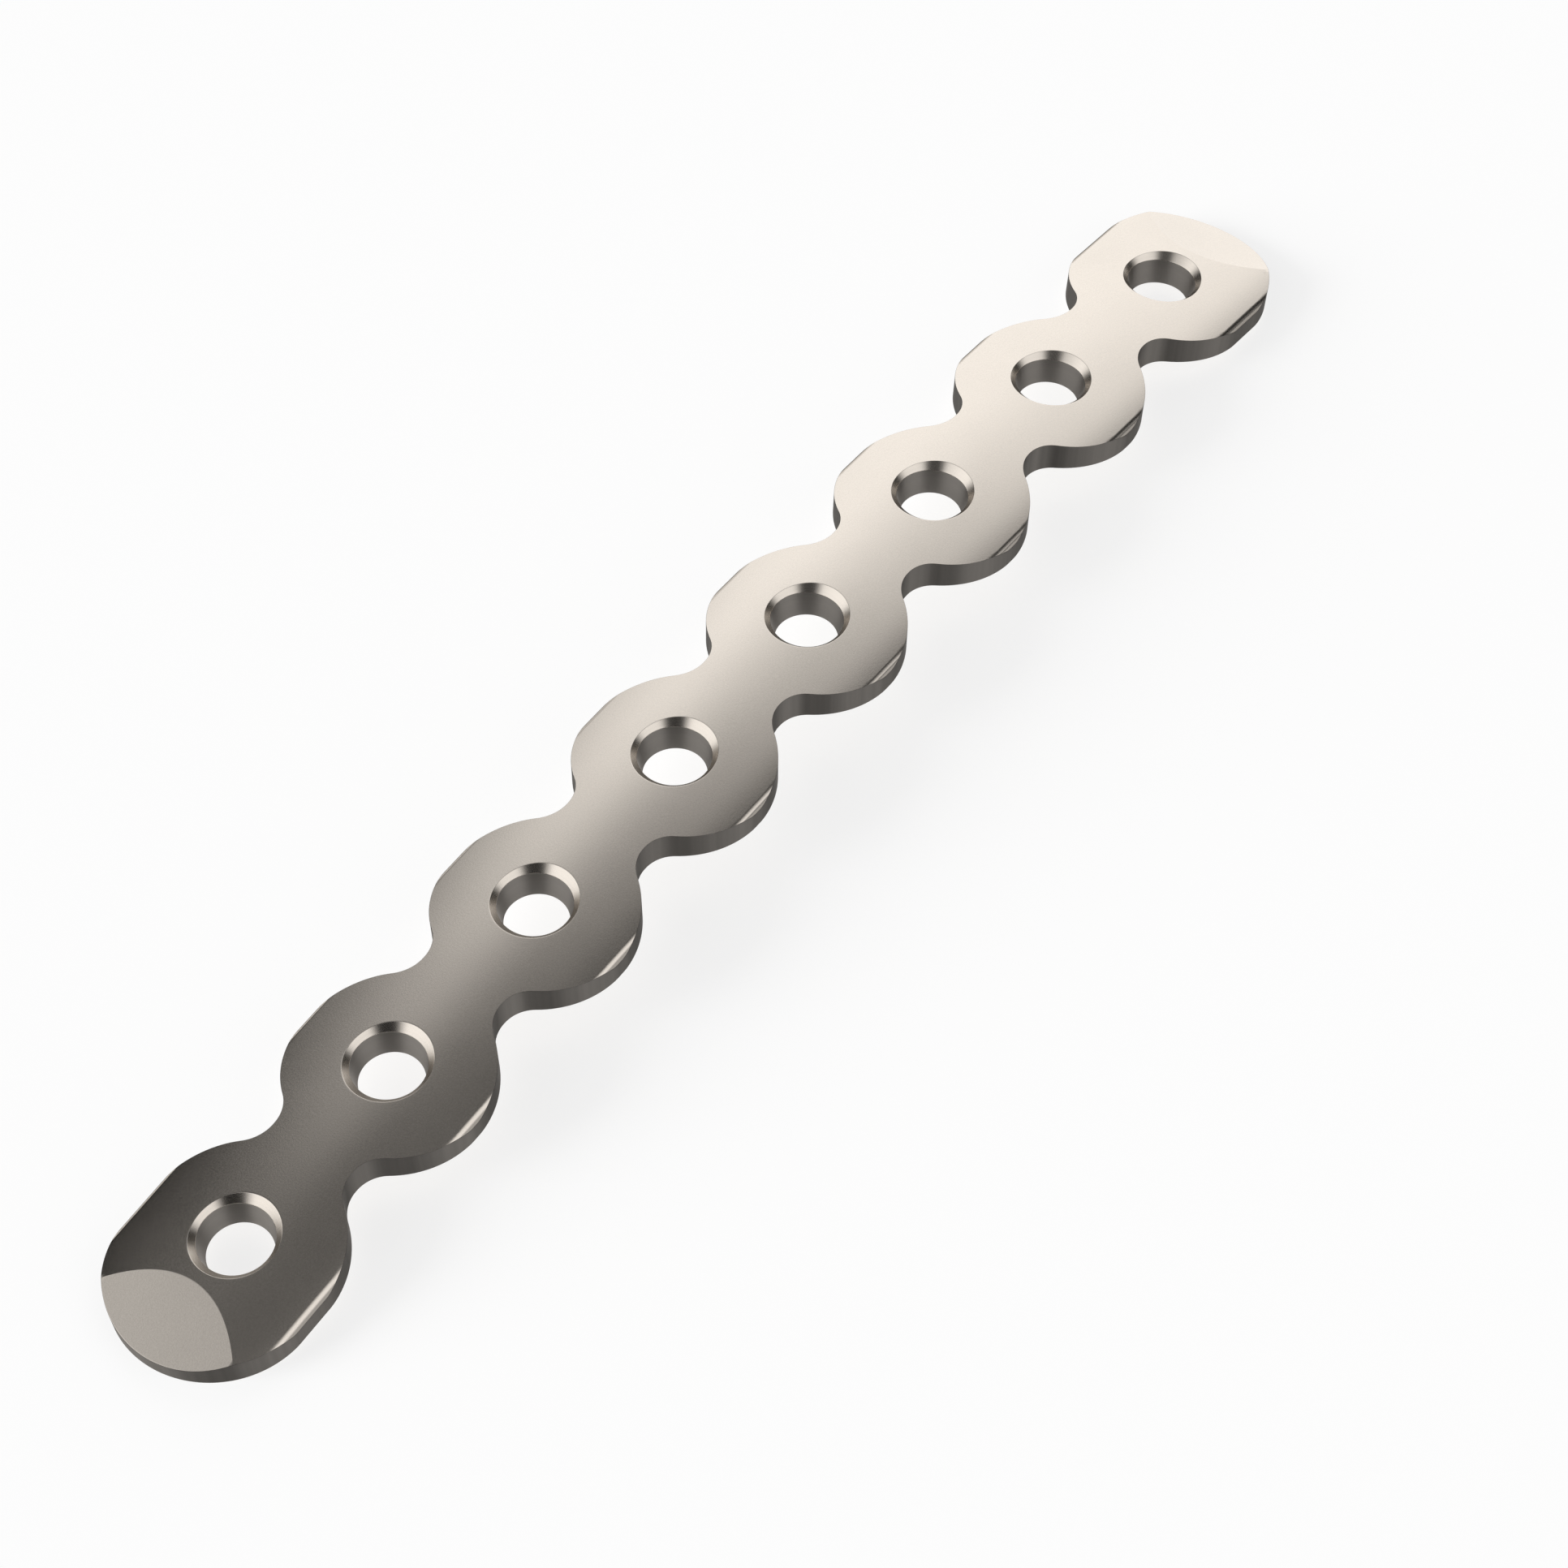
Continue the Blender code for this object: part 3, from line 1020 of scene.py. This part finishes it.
def blasted_metal(name, finish, low_level):
    """Blasted metal with painted shade: it falls to a lower level of its colour where it turns down to the side.
    """
    material = titanium(name, finish.face_colour, finish.face_roughness)
    tree = material.node_tree
    grain = placed_group(tree, blasted_grain(), {"grain_size": finish.grain_size})
    level = 1.0 + grain["Speckle"] * finish.face_grain
    # Painted shade: the colour falls towards the shade level where the normal turns down from upright.
    if low_level < 1.0:
        facing = tree.nodes.new("ShaderNodeTexCoord")
        parts = tree.nodes.new("ShaderNodeSeparateXYZ")
        tree.links.new(facing.outputs["Normal"], parts.inputs[0])
        level = level * blend(low_level, 1.0, soft_step(Field(parts.outputs["Z"]), *EDGE_SPAN))
    shade(material, level, grain["Height"], finish.face_relief)
    roughness = finish.face_roughness + grain["Speckle"] * finish.face_mottle
    feed(tree.nodes["Principled BSDF"].inputs["Roughness"], roughness)
    return material


def blasted_face(finish):
    return blasted_metal("blasted_face", finish, 1.0)


# The rounded edge's material darkens the lower part of the edge as painted shade.
def rounded_edge(finish):
    material = blasted_metal("rounded_edge", finish, finish.edge_level)
    tint_grazing(material, finish.edge_grazing)
    return material


def stretch_reflections(material, amount):
    """Stretches reflections up and down the plate, across the fine lines that run round a cut face."""
    tree = material.node_tree
    upright = tree.nodes.new("ShaderNodeVectorTransform")
    upright.vector_type = "VECTOR"
    upright.convert_from = "OBJECT"
    upright.convert_to = "WORLD"
    upright.inputs[0].default_value = (0.0, 0.0, 1.0)
    shader = tree.nodes["Principled BSDF"]
    shader.inputs["Anisotropic"].default_value = amount
    tree.links.new(upright.outputs[0], shader.inputs["Tangent"])


def add_tool_marks(material, finish, across_marks, spacing, tone):
    """Gives cut metal its grain and the marks of its tool."""
    tree = material.node_tree
    grain = placed_group(tree, blasted_grain(), {"grain_size": finish.grain_size})
    lines = placed_group(tree, tool_marks(), {"across_marks": across_marks, "spacing": spacing})
    level = 1.0 + grain["Speckle"] * finish.cut_grain + lines["Tone"] * tone
    shade(material, level, blend(grain["Height"], lines["Height"], MARK_SHARE), finish.cut_relief)


def milled_side(finish):
    # Its dark colour is painted shade; the upright tool marks are the side's own.
    material = titanium("milled_side", finish.side_colour, finish.side_roughness)
    stretch_reflections(material, finish.side_stretch)
    add_tool_marks(material, finish, ACROSS_UPRIGHTS, finish.mill_spacing, finish.mill_tone)
    return material


def turned_sink(finish):
    material = titanium("turned_sink", finish.sink_colour, finish.sink_roughness)
    stretch_reflections(material, finish.sink_stretch)
    tint_grazing(material, finish.sink_grazing)
    add_tool_marks(material, finish, ACROSS_RINGS, finish.ring_spacing, finish.ring_tone)
    return material


def reamed_bore(finish):
    # Its darker colour is painted shade; the turned rings are the bore's own.
    material = titanium("reamed_bore", finish.bore_colour, finish.bore_roughness)
    stretch_reflections(material, finish.bore_stretch)
    add_tool_marks(material, finish, ACROSS_RINGS, finish.ring_spacing, finish.ring_tone)
    return material


class BONEPLATE_OT_plate(bpy.types.Operator):
    """Makes the plate."""

    bl_idname = "bone_plate.plate"
    bl_label = "Plate"

    def execute(self, context):
        sizes = context.scene.bone_plate_sizes
        values = {title(key): getattr(sizes, key) for key in ["hole_count", *size_keys()]}
        finish = context.scene.bone_plate_finish
        values["Face Material"] = blasted_face(finish)
        values["Side Material"] = milled_side(finish)
        values["Sink Material"] = turned_sink(finish)
        values["Bore Material"] = reamed_bore(finish)
        values["Edge Material"] = rounded_edge(finish)
        plate = grown("plate", plate_tree(), values)
        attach(plate, "root")
        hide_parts("bone_plate")
        return {"FINISHED"}


def soft_step(value, start, end):
    """0 below the start and 1 beyond the end, with a soft run between."""
    node = value.tree.nodes.new("ShaderNodeMapRange")
    node.interpolation_type = "SMOOTHSTEP"
    feed(node.inputs["Value"], value)
    node.inputs["From Min"].default_value = start
    node.inputs["From Max"].default_value = end
    return Field(node.outputs["Result"])


def soft_box(azimuth, elevation, box):
    """How much of a direction a soft box fills: 1 at its middle and 0 past its soft edges."""
    off = abs(math_node("WRAP", azimuth - math.radians(box["turn"]), math.pi, -math.pi))
    width = math.radians(box["half_width"])
    side = math.radians(box["side_softness"])
    top = math.radians(box["top"])
    above = math.radians(box["top_softness"])
    across = 1.0 - soft_step(off, width - side, width + side)
    return across * (1.0 - soft_step(elevation, top - above, top + above))


def light_room(world, studio):
    """A dim room with three soft boxes and a low screen round the plate."""
    world.use_nodes = True
    tree = world.node_tree
    direction = tree.nodes.new("ShaderNodeTexCoord")
    parts = tree.nodes.new("ShaderNodeSeparateXYZ")
    tree.links.new(direction.outputs["Generated"], parts.inputs[0])
    x, y, z = (Field(socket) for socket in parts.outputs)
    azimuth = math_node("ARCTAN2", y, x)
    elevation = math_node("ARCSINE", z)
    overhead = soft_step(elevation, studio.wall_top, studio.ceiling_edge)
    level = blend(studio.wall_level, studio.ceiling_level, overhead)
    for box in SOFT_BOXES:
        level = blend(level, box["level"], soft_box(azimuth, elevation, box))
    feed(tree.nodes["Background"].inputs["Strength"], level)
    tree.nodes["Background"].inputs["Color"].default_value = (1.0, 1.0, 1.0, 1.0)


def pale_floor(studio):
    """Floor that keeps the plate's shadow and looks white to the eye, to metal and to glass."""
    material = bpy.data.materials.new("pale_floor")
    material.use_nodes = True
    tree = material.node_tree
    tree.nodes.remove(tree.nodes["Principled BSDF"])
    matt = tree.nodes.new("ShaderNodeBsdfDiffuse")
    glow = tree.nodes.new("ShaderNodeEmission")
    both = tree.nodes.new("ShaderNodeAddShader")
    ray = tree.nodes.new("ShaderNodeLightPath")
    matt.inputs["Color"].default_value = (*studio.floor_colour, 1.0)
    glow.inputs["Color"].default_value = (*studio.floor_glow, 1.0)
    seen = [Field(ray.outputs[f"Is {kind} Ray"]) for kind in ("Camera", "Glossy", "Transmission")]
    feed(glow.inputs["Strength"], math_node("MINIMUM", seen[0] + seen[1] + seen[2], 1.0))
    tree.links.new(matt.outputs[0], both.inputs[0])
    tree.links.new(glow.outputs[0], both.inputs[1])
    tree.links.new(both.outputs[0], tree.nodes["Material Output"].inputs["Surface"])
    return material


def photo_camera(studio):
    camera = bpy.data.objects.new("camera", bpy.data.cameras.new("camera"))
    bpy.context.scene.collection.objects.link(camera)
    camera.data.lens = studio.lens
    camera.data.clip_start = studio.nearest
    camera.location = studio.camera_place
    camera.rotation_euler = studio.camera_turn
    return camera


def side_lamp(studio):
    """Soft lamp from the left that casts the plate's shadow on the floor."""
    lamp = bpy.data.objects.new("side_lamp", bpy.data.lights.new("side_lamp", "SUN"))
    bpy.context.scene.collection.objects.link(lamp)
    lamp.data.energy = studio.lamp_strength
    lamp.data.angle = studio.lamp_angle
    lamp.rotation_euler = (math.pi / 2 - studio.lamp_height, 0.0, studio.lamp_azimuth + math.pi / 2)
    lamp.visible_glossy = False


class BONEPLATE_OT_stage(bpy.types.Operator):
    """Makes the floor, the light and the camera."""

    bl_idname = "bone_plate.stage"
    bl_label = "Stage"

    def execute(self, context):
        scene = context.scene
        studio = scene.bone_plate_studio
        scene.view_settings.view_transform = "Standard"
        bpy.ops.mesh.primitive_plane_add(size=studio.floor_size, location=(0.0, 0.0, cad_box[0].z))
        floor = context.object
        floor.name = "floor"
        floor.data.materials.append(pale_floor(studio))
        floor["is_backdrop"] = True
        scene.world = bpy.data.worlds.new("studio")
        light_room(scene.world, studio)
        side_lamp(studio)
        scene.camera = photo_camera(studio)
        return {"FINISHED"}


class BONEPLATE_PT_panel(bpy.types.Panel):
    """Sizes, finish and studio, and the buttons that make the plate and its stage."""

    bl_idname = "BONEPLATE_PT_panel"
    bl_label = "Bone Plate"
    bl_space_type = "VIEW_3D"
    bl_region_type = "UI"
    bl_category = "Bone Plate"

    def draw(self, context):
        scene = context.scene
        for group in (scene.bone_plate_sizes, scene.bone_plate_finish, scene.bone_plate_studio):
            for key in type(group).__annotations__:
                self.layout.prop(group, key)
        for operator in OPERATORS:
            self.layout.operator(operator.bl_idname)


OPERATORS = (BONEPLATE_OT_plate, BONEPLATE_OT_stage)
CLASSES = (PlateSizes, PlateFinish, StudioSettings, *OPERATORS, BONEPLATE_PT_panel)


def register():
    for item in CLASSES:
        bpy.utils.register_class(item)
    bpy.types.Scene.bone_plate_sizes = PointerProperty(type=PlateSizes)
    bpy.types.Scene.bone_plate_finish = PointerProperty(type=PlateFinish)
    bpy.types.Scene.bone_plate_studio = PointerProperty(type=StudioSettings)


def unregister():
    del bpy.types.Scene.bone_plate_studio
    del bpy.types.Scene.bone_plate_finish
    del bpy.types.Scene.bone_plate_sizes
    for item in reversed(CLASSES):
        bpy.utils.unregister_class(item)


def main():
    register()
    bpy.ops.bone_plate.plate()
    bpy.ops.bone_plate.stage()
    boxes = {"cad": [list(corner) for corner in cad_box], "visual": [list(corner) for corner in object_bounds()]}


if __name__ == "__main__":
    main()
